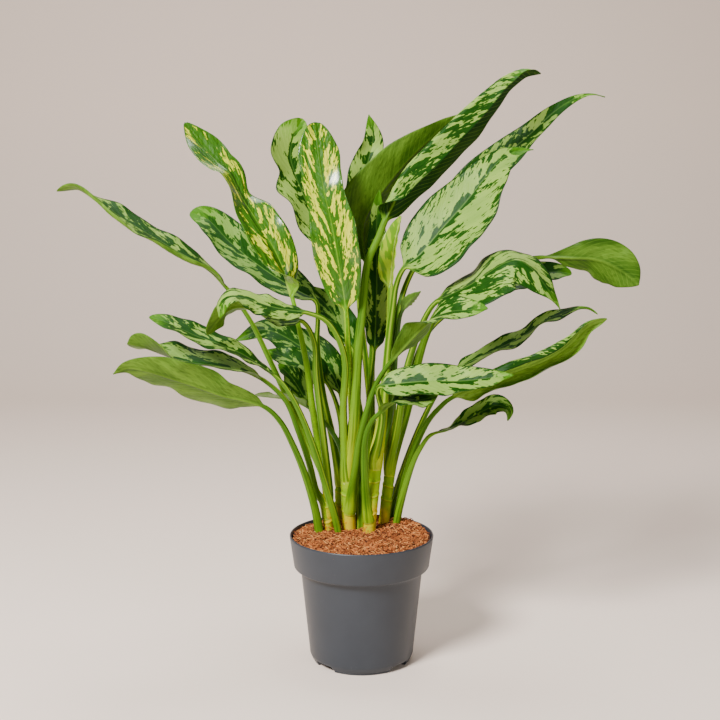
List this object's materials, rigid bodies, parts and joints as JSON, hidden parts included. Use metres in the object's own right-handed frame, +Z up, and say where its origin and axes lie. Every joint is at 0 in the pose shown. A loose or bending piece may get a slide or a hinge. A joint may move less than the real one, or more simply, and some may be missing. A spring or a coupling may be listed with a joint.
{
  "type": "potted chinese evergreen",
  "caption": "Chinese evergreen plant with silver-patterned lance leaves on long stalks, in a round tapered nursery pot.",
  "frame": {"origin": "centre of the pot's foot, on the surface it stands on", "axes": "+Z up the pot's axis, -Y to the front, +X to the viewer's right"},
  "size_m": [0.6783, 0.2273, 0.6891],
  "materials": {
    "pot_plastic": "satin injection-moulded plastic, dark grey-blue",
    "coir": null,
    "cane_skin": null,
    "leaf_silver": null,
    "leaf_young": null,
    "leaf_plain": null
  },
  "bodies": {
    "root": {"pot": "pot_plastic", "soil": "coir", "cane_left": "cane_skin", "cane_middle": "cane_skin", "cane_tall": "cane_skin", "cane_right": "cane_skin", "cane_back_left": "cane_skin", "cane_back": "cane_skin", "leaf_01": "leaf_silver", "leaf_02": "leaf_young", "leaf_03": "leaf_silver", "leaf_04": "leaf_silver", "leaf_05": "leaf_silver", "leaf_06": "leaf_silver", "leaf_07": "leaf_silver", "leaf_08": "leaf_plain", "leaf_09": "leaf_silver", "leaf_10": "leaf_young", "leaf_11": "leaf_silver", "leaf_12": "leaf_silver", "leaf_13": "leaf_silver", "leaf_14": "leaf_young", "leaf_15": "leaf_plain", "leaf_16": "leaf_silver", "leaf_17": "leaf_silver", "leaf_18": "leaf_silver", "leaf_19": "leaf_silver", "leaf_20": "leaf_silver", "leaf_21": "leaf_silver", "leaf_22": "leaf_silver", "leaf_23": "leaf_silver", "leaf_24": "leaf_silver", "leaf_25": "leaf_silver", "leaf_26": "leaf_silver", "leaf_27": "leaf_silver", "leaf_28": "leaf_silver", "leaf_29": "leaf_silver", "leaf_30": "leaf_silver", "leaf_31": "leaf_silver", "leaf_32": "leaf_silver"}
  },
  "joints": []
}
